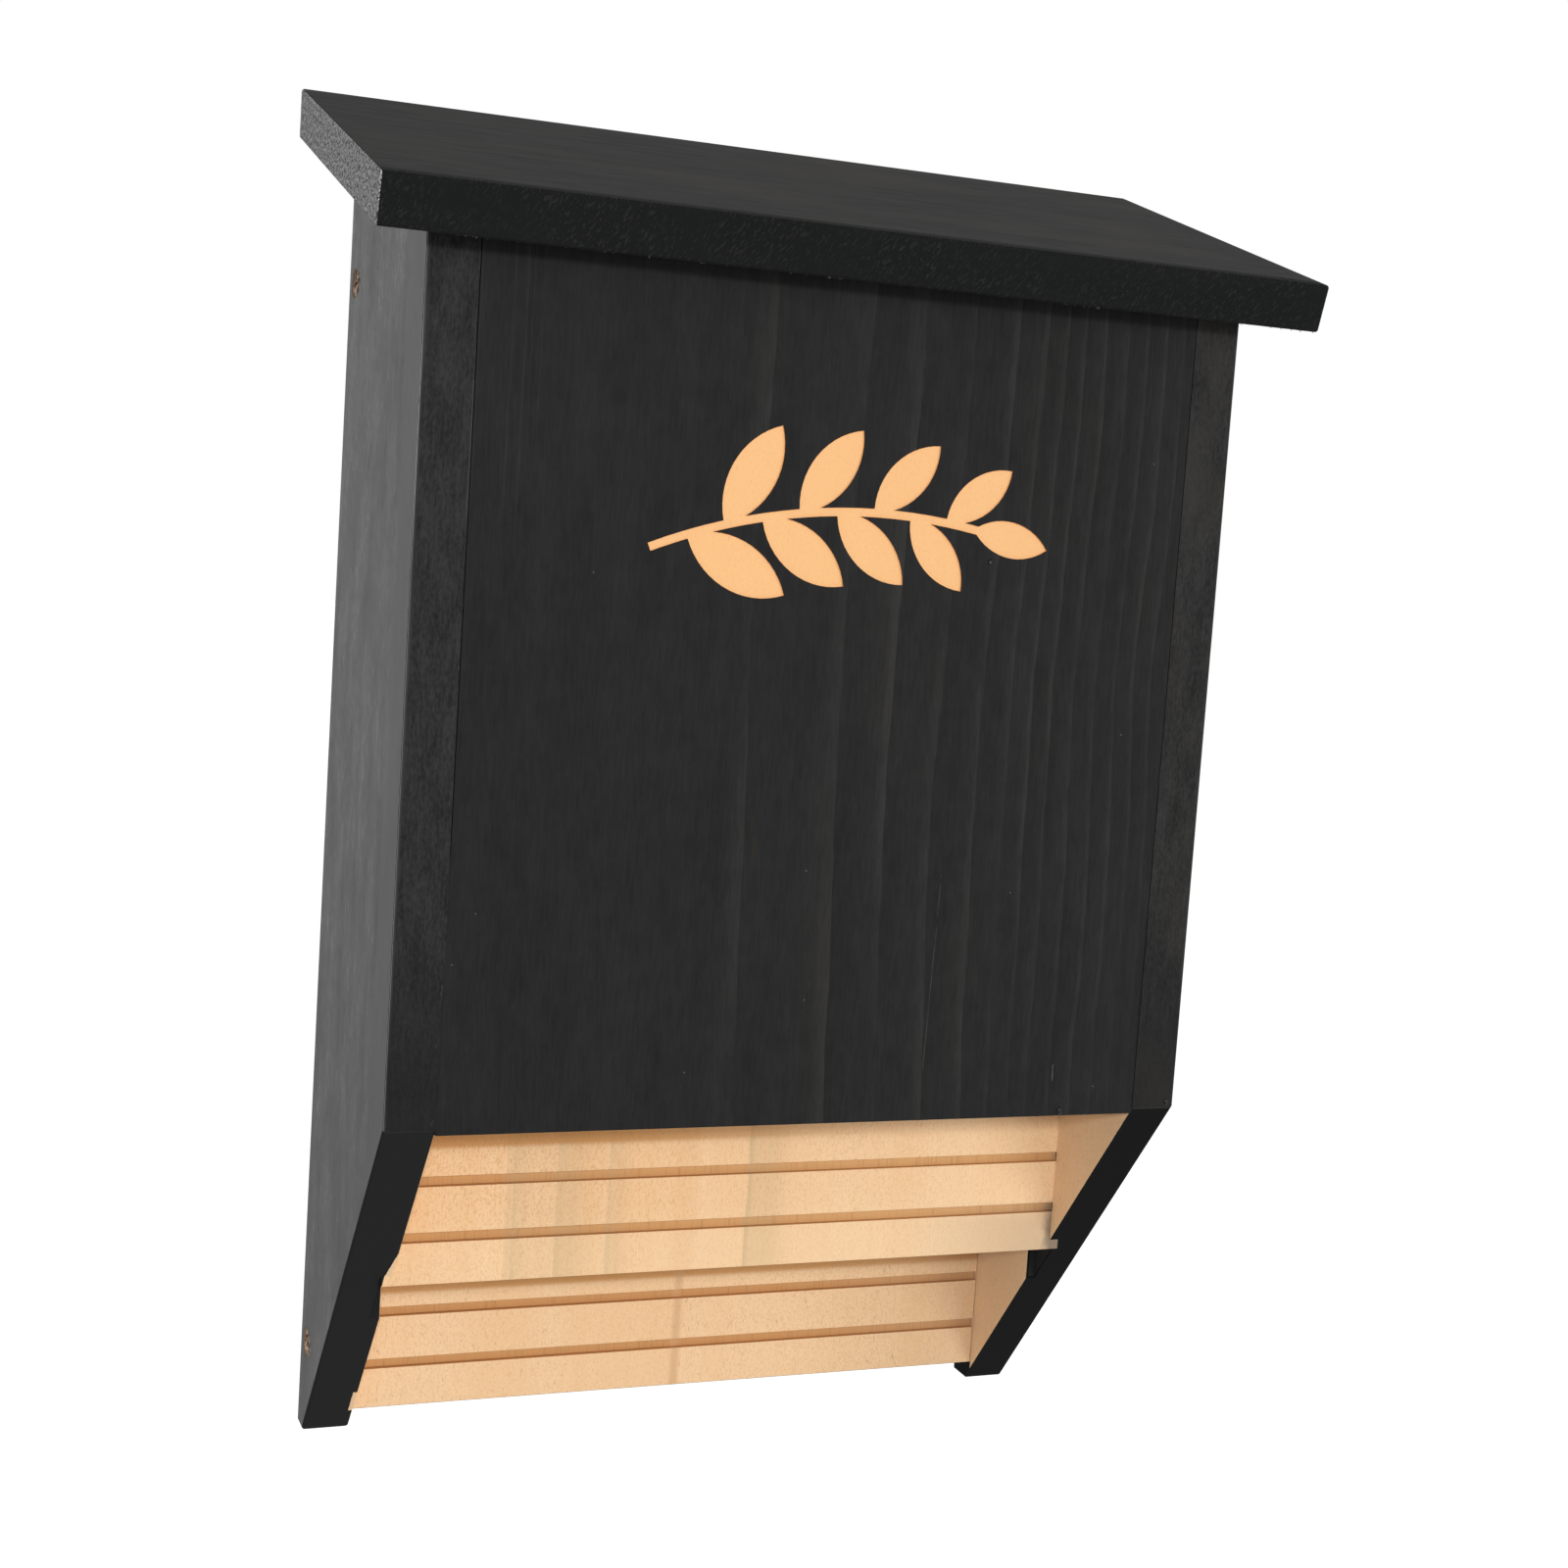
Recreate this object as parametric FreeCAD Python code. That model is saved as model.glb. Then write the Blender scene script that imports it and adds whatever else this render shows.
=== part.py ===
import FreeCAD, Part
import math
import os
from FreeCAD import Placement, Rotation, Vector

# Wall bat box with two chambers, built from boards. All sizes are in millimetres.
# X runs across the box, Y runs towards the wall and Z runs up. The wall plane is Y = 0 and the box is in front
# of it, at negative Y. While the pieces are modelled, heights count from the foot of the sides. The last step
# moves every piece so that the origin lies in the wall plane, midway between the two hanging holes.

# Board thicknesses
side_thickness = 15.5
front_thickness = 15.0
partition_thickness = 15.0
back_thickness = 13.0
roof_thickness = 15.0

# Body: outside width, depth from the wall to the front faces, and height of the sides at the wall
body_width = 264.0
body_depth = 114.0
rear_height = 426.0

# Lower front corner of each side: it slants from the kink back to a narrow foot
kink_height = 131.0
foot_depth = 9.0

# Lower edges of the boards between the sides
front_drop = 2.0
partition_drop = 3.2
back_raise = 7.5

# Chambers: clear depth of the rear one, and the pass over the top of the partition
rear_chamber = 38.0
partition_top_gap = 25.0

# Roof
roof_slope = 17.2
roof_front_overhang = 22.0
roof_side_overhang = 18.0

# Joints between boards
seam = 0.3
housing_depth = 3.5
housing_play = 0.1
housing_end_gap = 0.2

# Eased edges
side_arris = 1.0
front_arris = 0.8
roof_arris = 1.0

# Saw kerfs that give the bats a grip
kerf_width = 3.4
kerf_depth = 2.0
kerf_pitch = 18.1
kerf_first = 15.2

# Keyhole slots in the rear face of the back panel
hang_drop = 54.0
hang_spacing = 160.0
keyhole_mouth_d = 9.0
keyhole_neck = 4.5
keyhole_lip = 3.5
keyhole_depth = 8.0
keyhole_rise = 12.0

# Countersunk screws through the sides into the edges of the back panel
screw_length = 40.0
screw_shank_d = 4.0
screw_head_d = 8.2
screw_rim = 0.4
screw_point = 6.0
screw_play = 0.1
countersink_d = 9.6
screw_from_wall = 9.5
screw_low = 31.0
screw_top_drop = 44.5
recess_span = 4.8
recess_foot = 2.0
recess_width = 0.9
recess_depth = 1.9

# Pin nails, set under the painted surface
brad_length = 35.0
brad_d = 1.6
brad_point = 2.5
brad_set = 1.5
brad_inset = 22.0
front_brads = 3
partition_brads = 2
roof_side_brads = 3
roof_front_brads = 2
roof_front_brad_spacing = 130.0

# Leafy sprig cut through the paint of the front panel
engraving_depth = 0.6
stem_centre_x = -9.0
stem_centre_height = 318.0
stem_length = 108.0
stem_bow = 8.0
stem_tilt = 6.0
stem_width = 2.6
leaf_pairs = 4
leaf_length = 36.0
leaf_shrink = 1.2
leaf_fullness = 0.42
leaf_angle = 46.0

# Values worked out from the sizes above
slope = math.radians(roof_slope)
half_width = body_width / 2
inner_half = half_width - side_thickness
front_back_face = body_depth - front_thickness
partition_rear = back_thickness + rear_chamber
partition_front = partition_rear + partition_thickness
front_bottom = kink_height - front_drop
hang_height = rear_height - hang_drop
across = Vector(1, 0, 0)
toward_wall = Vector(0, 1, 0)
into_roof = Vector(0, math.sin(slope), -math.cos(slope))
overcut = 1.0


def roof_underside(depth):
    """Height of the roof's underside at this distance in front of the wall."""
    return rear_height - depth * math.tan(slope)


def slant_height(depth):
    """Height of the slanted edge of the sides at this distance in front of the wall."""
    return kink_height * (depth - foot_depth) / (body_depth - foot_depth)


partition_bottom = slant_height(partition_front) - partition_drop
partition_top = roof_underside(partition_front) - partition_top_gap


def prism(outline, x_start, width):
    """Solid of this outline in the YZ plane, from x_start on across the box."""
    corners = [Vector(x_start, y, z) for y, z in outline]
    return Part.Face(Part.makePolygon(corners + corners[:1])).extrude(across * width)


def box(low, high):
    return Part.makeBox(high[0] - low[0], high[1] - low[1], high[2] - low[2], Vector(*low))


def ease(solid, radius, wanted):
    """Round over the edges whose middle passes the test."""
    edges = [edge for edge in solid.Edges if wanted(edge.CenterOfMass)]
    return solid.makeFillet(radius, edges)


def turned(outline):
    """Solid of revolution about the X axis, from points of distance along X and radius."""
    points = [Vector(x, 0, radius) for x, radius in outline]
    face = Part.Face(Part.makePolygon(points + points[:1]))
    return face.revolve(Vector(0, 0, 0), across, 360)


def placed(solid, point, direction):
    """Copy of a solid made along the X axis, moved to the point and turned along the direction."""
    moved = solid.copy()
    moved.Placement = Placement(point, Rotation(across, direction))
    return moved


def without(solid, tools):
    for tool in tools:
        solid = solid.cut(tool)
    return solid


def mirrored(solid):
    return solid.mirror(Vector(0, 0, 0), across)


def evenly(start, end, count):
    """Places from start to end, both included, the same distance apart."""
    step = (end - start) / (count - 1)
    return [start + step * index for index in range(count)]


# Fasteners


def cross_recess():
    """Tapered cross that the driver sits in, cut into the head from its flat side."""
    slot = [(0, -recess_span / 2), (recess_depth, -recess_foot / 2), (recess_depth, recess_foot / 2),
            (0, recess_span / 2)]
    corners = [Vector(x, -recess_width / 2, z) for x, z in slot]
    blade = Part.Face(Part.makePolygon(corners + corners[:1])).extrude(toward_wall * recess_width)
    other = blade.copy()
    other.rotate(Vector(0, 0, 0), across, 90)
    return blade.fuse(other).removeSplitter()


def screw():
    """Countersunk wood screw along X, with the flat of its head at the start."""
    head_r = screw_head_d / 2
    shank_r = screw_shank_d / 2
    neck = screw_rim + head_r - shank_r
    outline = [(0, 0), (0, head_r), (screw_rim, head_r), (neck, shank_r),
               (screw_length - screw_point, shank_r), (screw_length, 0)]
    return turned(outline).cut(cross_recess())


def screw_hole():
    """Countersink and clearance hole through a side, along X from its outer face."""
    mouth_r = countersink_d / 2
    hole_r = screw_shank_d / 2 + screw_play
    outline = [(0, 0), (0, mouth_r), (mouth_r - hole_r, hole_r), (side_thickness, hole_r), (side_thickness, 0)]
    return turned(outline)


def screw_points():
    """Where the screws enter the outer face of the left side, low one first."""
    heights = (screw_low, rear_height - screw_top_drop)
    return [Vector(-half_width, -screw_from_wall, height) for height in heights]


def left_screws():
    sink = countersink_d / 2 - screw_head_d / 2 - screw_rim
    return [placed(screw(), point + across * sink, across) for point in screw_points()]


def brad():
    """Headless pin nail along X, driven end first."""
    brad_r = brad_d / 2
    return turned([(0, 0), (0, brad_r), (brad_length - brad_point, brad_r), (brad_length, 0)])


def left_side_brads(depth, low, high, count):
    """Brads through the left side at this distance from the wall, spread between two heights."""
    start_x = -half_width + brad_set
    return [placed(brad(), Vector(start_x, -depth, height), across) for height in evenly(low, high, count)]


def roof_brad(x, depth):
    """Brad square through the roof, crossing its underside at this distance from the wall."""
    seat = Vector(x, -depth, roof_underside(depth))
    return placed(brad(), seat - into_roof * (roof_thickness - brad_set), into_roof)


def roof_front_brad(x):
    """Brad through the roof, aimed so that its buried length is centred in the front panel's thickness."""
    buried = brad_length - (roof_thickness - brad_set)
    depth = body_depth - front_thickness / 2 + buried / 2 * math.sin(slope)
    return roof_brad(x, depth)


# Boards


def side_blank():
    """Left side board before its joints are cut: outline with the slanted lower front corner."""
    outline = [(0, 0), (-foot_depth, 0), (-body_depth, kink_height), (-body_depth, roof_underside(body_depth)),
               (0, rear_height)]
    blank = prism(outline, -half_width, side_thickness)
    clear = 2 * side_arris

    def outer_or_foot(middle):
        under_roof = middle.z < roof_underside(-middle.y) - clear
        return under_roof and (middle.x < -half_width + 0.01 or (middle.z < 0.01 and middle.x > -inner_half - 0.01))

    return ease(blank, side_arris, outer_or_foot)


def housing():
    """Groove ploughed along the left side's inner face for the end of the partition."""
    return box((-inner_half - housing_depth, -partition_front - housing_play, -overcut),
               (-inner_half + overcut, -partition_rear + housing_play, rear_height + overcut))


def left_side():
    holes = [placed(screw_hole(), point, across) for point in screw_points()]
    return without(side_blank(), [housing()] + holes)


def front_panel():
    outline = [(-front_back_face, front_bottom), (-body_depth, front_bottom),
               (-body_depth, roof_underside(body_depth)), (-front_back_face, roof_underside(front_back_face))]
    half = inner_half - seam
    panel = prism(outline, -half, 2 * half)

    def lower_front(middle):
        return middle.z < front_bottom + 0.01 and middle.y < -body_depth + 0.01

    return ease(panel, front_arris, lower_front).cut(sprig())


def kerfs(face_depth, bottom, top):
    """Saw kerfs across the front face of an inner board, from its lower edge to near its top."""
    count = int((top - bottom - 2 * kerf_first) / kerf_pitch) + 1
    cuts = []
    for index in range(count):
        middle = bottom + kerf_first + kerf_pitch * index
        low = (-half_width, -face_depth - overcut, middle - kerf_width / 2)
        high = (half_width, -face_depth + kerf_depth, middle + kerf_width / 2)
        cuts.append(box(low, high))
    return cuts


def partition():
    half = inner_half + housing_depth - housing_end_gap
    board = box((-half, -partition_front, partition_bottom), (half, -partition_rear, partition_top))
    return without(board, kerfs(partition_front, partition_bottom, partition_top))


def keyhole(x):
    """Round mouth for a screw head, and a narrow neck above it with a wider slot behind the lip."""
    mouth_r = keyhole_mouth_d / 2
    neck_r = keyhole_neck / 2
    centre = Vector(x, 0, hang_height)
    top = Vector(x, 0, hang_height + keyhole_rise)
    inward = toward_wall * -1
    mouth = Part.makeCylinder(mouth_r, keyhole_depth, centre, inward)
    neck = Part.makeCylinder(neck_r, keyhole_lip, top, inward)
    neck_slot = box((x - neck_r, -keyhole_lip, hang_height), (x + neck_r, 0, hang_height + keyhole_rise))
    behind = Part.makeCylinder(mouth_r, keyhole_depth - keyhole_lip, top + inward * keyhole_lip, inward)
    behind_slot = box((x - mouth_r, -keyhole_depth, hang_height),
                      (x + mouth_r, -keyhole_lip, hang_height + keyhole_rise))
    return mouth.fuse([neck, neck_slot, behind, behind_slot])


def back_panel():
    outline = [(0, back_raise), (-back_thickness, back_raise), (-back_thickness, roof_underside(back_thickness)),
               (0, rear_height)]
    half = inner_half - seam
    board = prism(outline, -half, 2 * half)
    board = without(board, kerfs(back_thickness, back_raise, roof_underside(back_thickness)))
    return without(board, [keyhole(-hang_spacing / 2), keyhole(hang_spacing / 2)])


def roof():
    reach = body_depth + roof_front_overhang
    rise = roof_thickness / math.cos(slope)
    front_top = roof_underside(reach) + rise
    outline = [(0, rear_height), (0, rear_height + rise), (-reach, front_top),
               (-reach + roof_thickness * math.sin(slope), front_top - roof_thickness * math.cos(slope))]
    half = half_width + roof_side_overhang
    board = prism(outline, -half, 2 * half)
    return ease(board, roof_arris, lambda middle: middle.y < -0.01)


# Engraving


def leaf(base, angle, length):
    """Pointed leaf in the front plane, bounded by two arcs from its base to its tip."""
    along = Vector(math.cos(angle), 0, math.sin(angle))
    beside = Vector(-math.sin(angle), 0, math.cos(angle))
    tip = base + along * length
    middle = base + along * (length / 2)
    belly = beside * (length * leaf_fullness / 2)
    upper = Part.Arc(base, middle + belly, tip).toShape()
    lower = Part.Arc(tip, middle - belly, base).toShape()
    return Part.Face(Part.Wire([upper, lower]))


def stem(centre, radius, start, end):
    """Curved stalk: a band between two arcs about one centre."""
    def point(distance, angle):
        return centre + Vector(math.cos(angle), 0, math.sin(angle)) * distance

    inner, outer = radius - stem_width / 2, radius + stem_width / 2
    middle = (start + end) / 2
    top = Part.Arc(point(outer, start), point(outer, middle), point(outer, end)).toShape()
    bottom = Part.Arc(point(inner, end), point(inner, middle), point(inner, start)).toShape()
    right = Part.makeLine(point(outer, end), point(inner, end))
    left = Part.makeLine(point(inner, start), point(outer, start))
    return Part.Face(Part.Wire([top, right, bottom, left]))


def sprig():
    """Bowed stem with alternate leaves and one at its tip, as a solid just deep enough to cut the paint."""
    radius = (stem_length ** 2 / 4 + stem_bow ** 2) / (2 * stem_bow)
    half_turn = math.asin(stem_length / 2 / radius)
    upright = math.pi / 2
    start, end = upright + half_turn, upright - half_turn
    middle = Vector(stem_centre_x, -body_depth, stem_centre_height)
    centre = middle - Vector(0, 0, radius)

    def on_stem(turn):
        return centre + Vector(math.cos(turn), 0, math.sin(turn)) * radius

    shapes = [stem(centre, radius, start, end)]
    count = 2 * leaf_pairs
    for index in range(count):
        turn = start + (end - start) * (index + 1) / (count + 1)
        side = 1 if index % 2 else -1
        heading = turn - upright + side * math.radians(leaf_angle)
        shapes.append(leaf(on_stem(turn), heading, leaf_length - leaf_shrink * index))
    tip_turn = end + stem_width / radius
    shapes.append(leaf(on_stem(tip_turn), end - upright, leaf_length - leaf_shrink * count))
    solids = [shape.extrude(toward_wall * engraving_depth) for shape in shapes]
    whole = solids[0].fuse(solids[1:]).removeSplitter()
    whole.rotate(middle, toward_wall, -stem_tilt)
    return whole


def fasteners():
    """Every screw and brad by name."""
    span = brad_inset
    front = left_side_brads(body_depth - front_thickness / 2, front_bottom + span,
                            roof_underside(body_depth) - span, front_brads)
    inner = left_side_brads((partition_front + partition_rear) / 2, partition_bottom + span,
                            partition_top - span, partition_brads)
    roof_x = half_width - side_thickness / 2
    over_side = [roof_brad(-roof_x, depth) for depth in evenly(span, body_depth - span, roof_side_brads)]
    pieces = {}
    groups = {"back_screw": left_screws(), "front_brad": front, "partition_brad": inner, "roof_brad": over_side}
    for kind, solids in groups.items():
        for number, solid in enumerate(solids, 1):
            pieces[f"{kind}_left_{number}"] = solid
            pieces[f"{kind}_right_{number}"] = mirrored(solid)
    places = evenly(-roof_front_brad_spacing / 2, roof_front_brad_spacing / 2, roof_front_brads)
    for number, x in enumerate(places, 1):
        pieces[f"roof_brad_front_{number}"] = roof_front_brad(x)
    return pieces


def boards():
    left = left_side()
    return {"left_side": left, "right_side": mirrored(left), "front_panel": front_panel(),
            "partition": partition(), "back_panel": back_panel(), "roof": roof()}


def pierced(board, tools):
    """Board with a hole for each fastener that is driven into it."""
    return without(board, [tool for tool in tools if board.BoundBox.intersect(tool.BoundBox)])


def build():
    metal = fasteners()
    wood = {name: pierced(board, metal.values()) for name, board in boards().items()}
    to_origin = Vector(0, 0, -hang_height)
    return {name: solid.translated(to_origin) for name, solid in {**wood, **metal}.items()}


os.makedirs("parts", exist_ok=True)
for name, shape in build().items():
    shape.exportStep(f"parts/{name}.step")
    print(f"{name}: {len(shape.Solids)} solid, {shape.Volume:.0f} cubic mm, valid {shape.isValid()}")
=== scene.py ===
# %% [markdown]
# A wall bat box in Blender
#
# The box hangs on a wall and shelters bats in two narrow chambers. Its boards are stained black
# outside and left raw inside, so that the animals can cling to them. Every board, screw and pin
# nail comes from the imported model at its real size. This lesson gives those pieces their finishes,
# adds the small things that a painter and a saw leave behind, and lights and frames the box as in a
# catalogue picture.

import math
import random

import bmesh
import bpy
from mathutils import Matrix, Vector


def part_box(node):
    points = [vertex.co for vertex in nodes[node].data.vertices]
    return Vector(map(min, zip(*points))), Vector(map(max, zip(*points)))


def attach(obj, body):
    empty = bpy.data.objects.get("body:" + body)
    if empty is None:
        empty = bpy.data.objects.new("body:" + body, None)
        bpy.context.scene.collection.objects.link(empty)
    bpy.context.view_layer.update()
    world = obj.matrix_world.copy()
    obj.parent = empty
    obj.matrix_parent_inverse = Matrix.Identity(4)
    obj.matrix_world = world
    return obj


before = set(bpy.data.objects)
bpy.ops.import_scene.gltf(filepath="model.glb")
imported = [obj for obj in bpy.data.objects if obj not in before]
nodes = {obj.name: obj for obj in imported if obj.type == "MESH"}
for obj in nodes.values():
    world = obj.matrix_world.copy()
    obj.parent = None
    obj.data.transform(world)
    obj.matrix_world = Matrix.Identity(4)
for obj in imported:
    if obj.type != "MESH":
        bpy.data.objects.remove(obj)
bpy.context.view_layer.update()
print("pieces in the packed model:", len(nodes))


# %% [markdown]
# Places on the boards
#
# A finish has to know where a board ends, where the paint stops and where a screw sits. These
# places could be typed in as numbers, but then they would go wrong as soon as a board changed.
# Reading them from the boxes of the pieces keeps every mask on its edge. The object hangs from its
# origin, so most of it has negative heights, and heights over its foot are easier to read. Two
# places count as one when they are close, and a mask for a face reaches one skin into the board.

# %% Read the places from the pieces
MM = 0.001
close = 0.02 * MM
skin = 0.05 * MM


def corners(name):
    """The corners of a piece's mesh, which are already places on the whole box."""
    return [vertex.co for vertex in nodes[name].data.vertices]


side_low, side_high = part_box("left_side")
front_low, front_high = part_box("front_panel")
partition_low, partition_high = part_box("partition")
back_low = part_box("back_panel")[0]
roof_low, roof_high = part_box("roof")

outer_x = -side_low.x
inner_x = outer_x - (side_high.x - side_low.x)
front_y = front_low.y
front_back_y = front_high.y
front_foot_z = front_low.z
partition_y = partition_low.y
back_y = back_low.y
back_foot_z = back_low.z
foot_z = side_low.z
print("half width outside and inside:", round(outer_x, 4), round(inner_x, 4))


def heights(low, high):
    """Two heights given in millimetres over the foot of the box."""
    return foot_z + low * MM, foot_z + high * MM


# %% [markdown]
# The slanted edge and the kerfs
#
# Below the front panel the sides are cut away along a slanted line, and the inner boards carry rows
# of saw kerfs. Neither shows in a box, but both show in the corners of the meshes. The slant runs
# from the kink, the lowest corner on the front edge, to the toe, the foremost corner on the foot.
# The kerf floors are the first step behind the planed face of the partition.

# %% Read the slant and the kerfs
kink_z = min(corner.z for corner in corners("left_side") if corner.y < front_y + close)
toe_y = min(corner.y for corner in corners("left_side") if corner.z < foot_z + close)
slant_rise = kink_z - foot_z
slant_run = toe_y - front_y
slant_length = math.hypot(slant_rise, slant_run)

depths = sorted({round(corner.y, 5) for corner in corners("partition")})
kerf_depth = depths[1] - depths[0]


def kerf_levels(name, face_y):
    """Heights of the lower and upper edges of the kerfs, from the lowest up."""
    floor_y = face_y + kerf_depth
    return sorted({round(corner.z, 5) for corner in corners(name) if abs(corner.y - floor_y) < close})


partition_kerfs = kerf_levels("partition", partition_y)
back_kerfs = kerf_levels("back_panel", back_y)
kerf_step = partition_kerfs[2] - partition_kerfs[0]
print("kerf depth and step in millimetres:", round(kerf_depth / MM, 2), round(kerf_step / MM, 2))


# %% [markdown]
# The camera
#
# The picture was taken from the left and a little above the middle of the box. The place, the turn
# and the lens were found by matching the corners of the boards to the picture, so they are kept as
# measured. The camera is turned in three steps, as a tripod head is: to the side, down, and a small
# roll.

# %% Place the camera
camera_place = Vector((-0.2716, -0.7604, -0.0638))
camera_turn = math.radians(-21.70)
camera_tilt = math.radians(-5.971)
camera_roll = math.radians(3.832)
camera_lens = 52.83
film_width = 36.0

camera_data = bpy.data.cameras.new("camera")
camera_data.lens = camera_lens
camera_data.sensor_width = film_width
camera_data.clip_start = 10 * MM
camera = bpy.data.objects.new("camera", camera_data)
bpy.context.scene.collection.objects.link(camera)
camera.matrix_world = (
    Matrix.Translation(camera_place)
    @ Matrix.Rotation(camera_turn, 4, "Z")
    @ Matrix.Rotation(math.radians(90) + camera_tilt, 4, "X")
    @ Matrix.Rotation(camera_roll, 4, "Z")
)
bpy.context.scene.camera = camera
print("camera's distance from the origin in metres:", round(camera_place.length, 3))


# %% [markdown]
# Shader maths as plain sums
#
# A wood finish is mostly arithmetic on places: how far along the grain, how far across it, how near
# to an edge. Wiring a Math node by hand for each sum is slow to read. A small class can wrap a
# socket and give it the signs for adding, multiplying and comparing, so that a finish reads as a
# formula and still becomes ordinary nodes.

# %% A field is a socket with arithmetic
class Field:
    """A value or colour that changes over a surface: one output socket of a node."""

    def __init__(self, finish, socket):
        self.finish = finish
        self.socket = socket

    def __add__(self, other):
        return self.finish.maths("ADD", self, other)

    __radd__ = __add__

    def __sub__(self, other):
        return self.finish.maths("SUBTRACT", self, other)

    def __rsub__(self, other):
        return self.finish.maths("SUBTRACT", other, self)

    def __mul__(self, other):
        return self.finish.maths("MULTIPLY", self, other)

    __rmul__ = __mul__

    def __gt__(self, other):
        return self.finish.maths("GREATER_THAN", self, other)

    def __lt__(self, other):
        return self.finish.maths("LESS_THAN", self, other)

    def __abs__(self):
        return self.finish.maths("ABSOLUTE", self)


# %% [markdown]
# A finish under construction
#
# Each material starts as a Principled shader whose patterns all follow the object's own
# coordinates. The boards keep their place in their mesh, so these coordinates are metres in the
# box's frame, and a pattern keeps its size on every board. One method makes any node, and a few
# short ones name the steps that the finishes repeat.

# %% The finish class
class Finish:
    """A material being built: its shader, the place on the object, and the nodes made so far."""

    def __init__(self, name):
        self.material = bpy.data.materials.new(name)
        self.material.use_nodes = True
        self.tree = self.material.node_tree
        self.shader = self.tree.nodes["Principled BSDF"]
        self.place = self.make("ShaderNodeTexCoord", output="Object")
        self.x = self.make("ShaderNodeSeparateXYZ", sockets={"Vector": self.place}, output="X")
        self.y, self.z = [Field(self, self.x.socket.node.outputs[axis]) for axis in "YZ"]

    def make(self, kind, settings=None, sockets=None, output=0):
        """Any node: its settings go first, then the values or links of its sockets."""
        node = self.tree.nodes.new(kind)
        for key, value in (settings or {}).items():
            setattr(node, key, value)
        for key, value in (sockets or {}).items():
            self.feed(node.inputs[key], value)
        return Field(self, node.outputs[output])

    def feed(self, socket, value):
        if isinstance(value, Field):
            self.tree.links.new(value.socket, socket)
        else:
            socket.default_value = value

    def maths(self, operation, first, second=0.0):
        return self.make("ShaderNodeMath", {"operation": operation}, {0: first, 1: second})

    def smooth(self, value, low, high):
        """Goes smoothly from 0 at low to 1 at high."""
        sockets = {"Value": value, "From Min": low, "From Max": high}
        return self.make("ShaderNodeMapRange", {"interpolation_type": "SMOOTHSTEP"}, sockets)

    def blend(self, share, under, over):
        """Colour that is under where the share is 0 and over where it is 1."""
        return self.make("ShaderNodeMix", {"data_type": "RGBA"}, {0: share, 6: under, 7: over}, output=2)

    def grain(self, scales, detail=2.0, roughness=0.5, shift=0.0, place=None):
        """Noise from 0 to 1 about 0.5, drawn out along the axis with the smallest scale. Another shift
        gives another pattern of the same kind."""
        place = place or self.place
        vector = self.make("ShaderNodeVectorMath", {"operation": "MULTIPLY"}, {0: place, 1: scales})
        sockets = {"Vector": vector, "W": shift, "Scale": 1.0, "Detail": detail, "Roughness": roughness}
        return self.make("ShaderNodeTexNoise", {"noise_dimensions": "4D"}, sockets)

    def relief(self, height, distance):
        """Feeds the shader's normal from a height of 0 to 1 that stands for this many metres."""
        sockets = {"Height": height, "Distance": distance, "Strength": 1.0}
        self.feed(self.shader.inputs["Normal"], self.make("ShaderNodeBump", sockets=sockets))

    def set(self, **sockets):
        """Values or fields for the shader's own sockets, with their spaces written as underscores."""
        for key, value in sockets.items():
            self.feed(self.shader.inputs[key.replace("_", " ")], value)


# %% [markdown]
# Raw softwood
#
# The boards inside are planed softwood with no finish at all. Seen close, they have an even peach
# ground, a fine grain of specks about half a millimetre wide, faint fibres, and short dark dashes
# where a resin canal was cut open. Noise drawn out along the grain gives the fibres, and nearly
# round noise the specks. The dashes are the rare peaks of a finer noise, gathered in clouds and
# kept short, so that they don't become lines. The grain stands upright on every board of the body.

# %% Colours of the raw wood
peach = (0.830, 0.528, 0.284, 1)
cream = (0.862, 0.592, 0.352, 1)
biscuit = (0.700, 0.390, 0.178, 1)
fresh_cut = (0.820, 0.450, 0.190, 1)
pale_wood = (0.920, 0.680, 0.430, 1)
pore_brown = (0.360, 0.180, 0.080, 1)
sapwood_grey = (0.470, 0.345, 0.198, 1)


def raw_wood(finish, shift):
    """Colour and height of planed softwood with upright grain. The shift picks another board."""
    bands = finish.grain((45, 45, 1.5), shift=shift)
    ribbons = finish.grain((240, 240, 4), roughness=0.6, shift=shift + 3)
    fibres = finish.grain((1700, 1700, 90), detail=3, roughness=0.7, shift=shift + 7)
    grains = finish.grain((2100, 2100, 1100), roughness=0.6, shift=shift + 9)
    clouds = finish.grain((60, 60, 22), detail=3, shift=shift + 11)
    dashes = finish.grain((1500, 1500, 340), detail=1, shift=shift + 15)
    pricks = finish.grain((2400, 2400, 620), detail=1, shift=shift + 17)

    colour = finish.blend(finish.smooth(bands, 0.40, 0.64) * 0.7, peach, cream)
    colour = finish.blend(finish.smooth(ribbons, 0.50, 0.76) * 0.20, colour, biscuit)
    colour = finish.blend(finish.smooth(fibres, 0.46, 0.78) * 0.32, colour, biscuit)
    colour = finish.blend(finish.smooth(grains, 0.46, 0.68) * 0.80, colour, biscuit)
    busy = finish.smooth(clouds, 0.36, 0.60)
    pricked = finish.smooth(pricks, 0.58, 0.74) * (busy * 0.6 + 0.3)
    colour = finish.blend(pricked * 0.42, colour, pore_brown)
    colour = finish.blend(finish.smooth(dashes, 0.65, 0.74) * busy * 0.64, colour, pore_brown)
    return colour, fibres * 0.5 + grains * 0.5


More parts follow.
